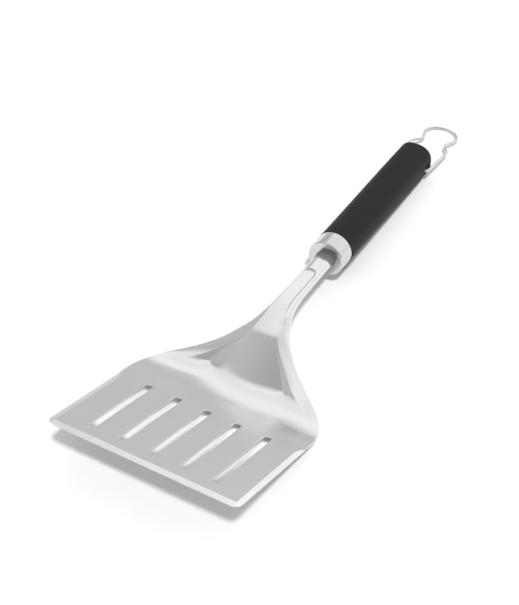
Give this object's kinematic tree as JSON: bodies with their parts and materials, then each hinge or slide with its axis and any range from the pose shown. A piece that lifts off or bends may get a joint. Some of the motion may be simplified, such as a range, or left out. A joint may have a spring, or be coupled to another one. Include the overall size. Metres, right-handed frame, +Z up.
{
  "type": "grill spatula",
  "caption": "Long-handled grill spatula with a wide slotted steel blade, a round grip with a polished collar and a swinging wire hanging loop.",
  "frame": {"origin": "middle of the bounding box's underside, on the table that the tool lies on", "axes": "+Y along the tool from the blade's front edge to the hanging loop, +X across the blade, +Z up from the table"},
  "size_m": [0.14, 0.4574, 0.0423],
  "materials": {
    "blade_steel": "satin, fine grain",
    "tang_steel": "mill finish",
    "ferrule_nylon": "satin dark grey",
    "collar_steel": "polished stainless steel",
    "core_nylon": "moulded, black",
    "grip_skin": "matte, fine soft-touch texture",
    "plug_plastic": "moulded, black",
    "loop_wire": "bright drawn steel wire"
  },
  "bodies": {
    "tool": {"blade_head": "blade_steel", "tang": "tang_steel", "ferrule": "ferrule_nylon", "collar": "collar_steel", "grip_core": "core_nylon", "tang_pin_front": "tang_steel", "tang_pin_rear": "tang_steel", "grip_sleeve": "grip_skin", "end_plug": "plug_plastic"},
    "loop": {"hang_loop": "loop_wire"}
  },
  "joints": [
    {"name": "hang_loop_swing", "type": "hinge", "parent": "tool", "child": "loop", "pos_m": [0, 0.15812, 0.01331], "axis": [1, 0, 0], "range_deg": [-159, 170]}
  ]
}
